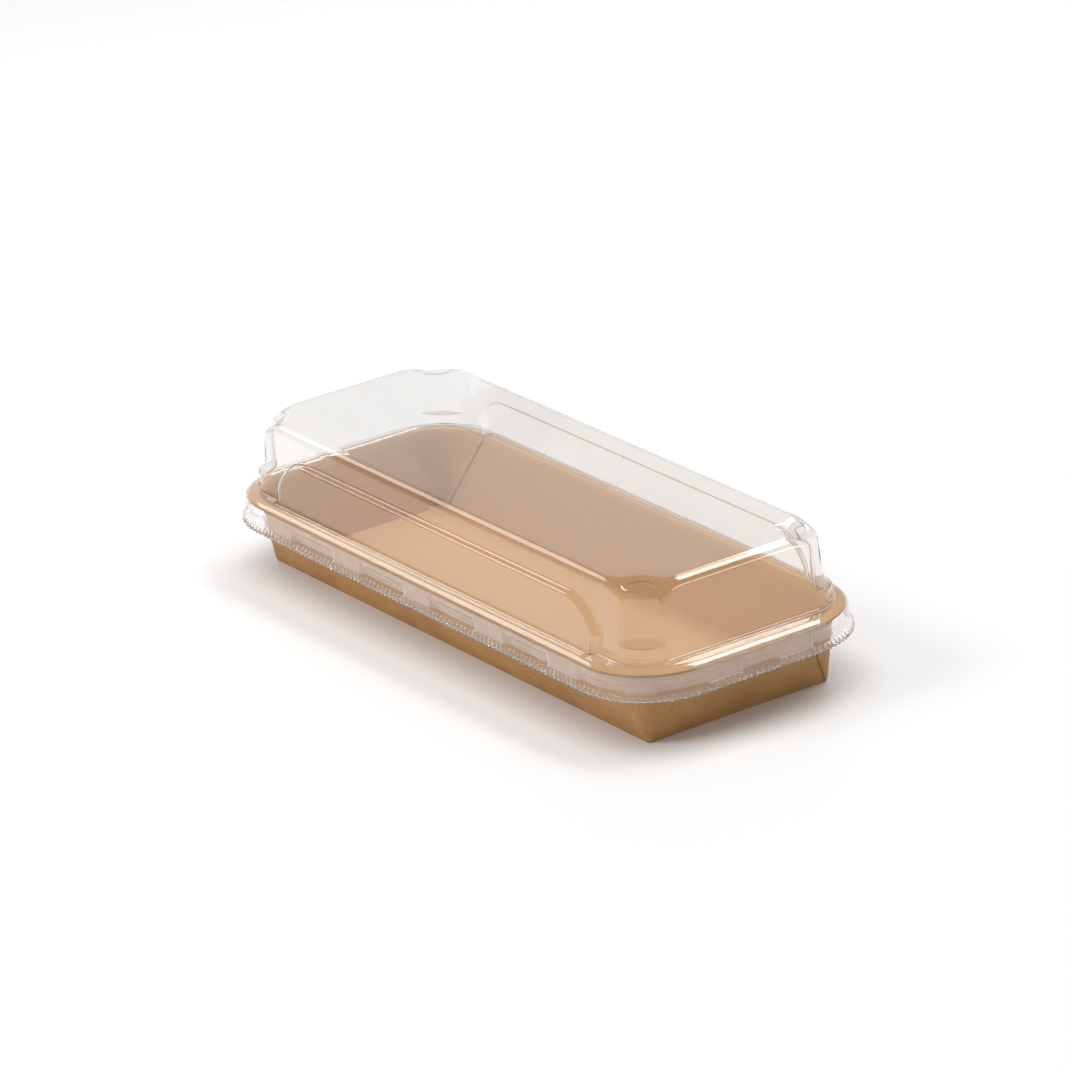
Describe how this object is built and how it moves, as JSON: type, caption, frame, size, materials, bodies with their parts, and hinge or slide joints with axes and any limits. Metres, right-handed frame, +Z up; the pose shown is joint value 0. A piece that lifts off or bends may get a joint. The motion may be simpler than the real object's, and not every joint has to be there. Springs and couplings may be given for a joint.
{
  "type": "takeaway sushi tray",
  "caption": "Long shallow kraft-board takeaway tray with flared walls and a clear domed press-on lid, arched along its sides and fluted at its corners, empty.",
  "frame": {"origin": "centre of the tray's underside, where it stands", "axes": "+X along the tray's long side, +Y across it, +Z up"},
  "size_m": [0.2208, 0.0908, 0.0478],
  "materials": {
    "kraft_board": null,
    "clear_sheet": "clear glossy thermoformed plastic sheet"
  },
  "bodies": {
    "root": {"tray": "kraft_board", "lid": "clear_sheet"}
  },
  "joints": []
}
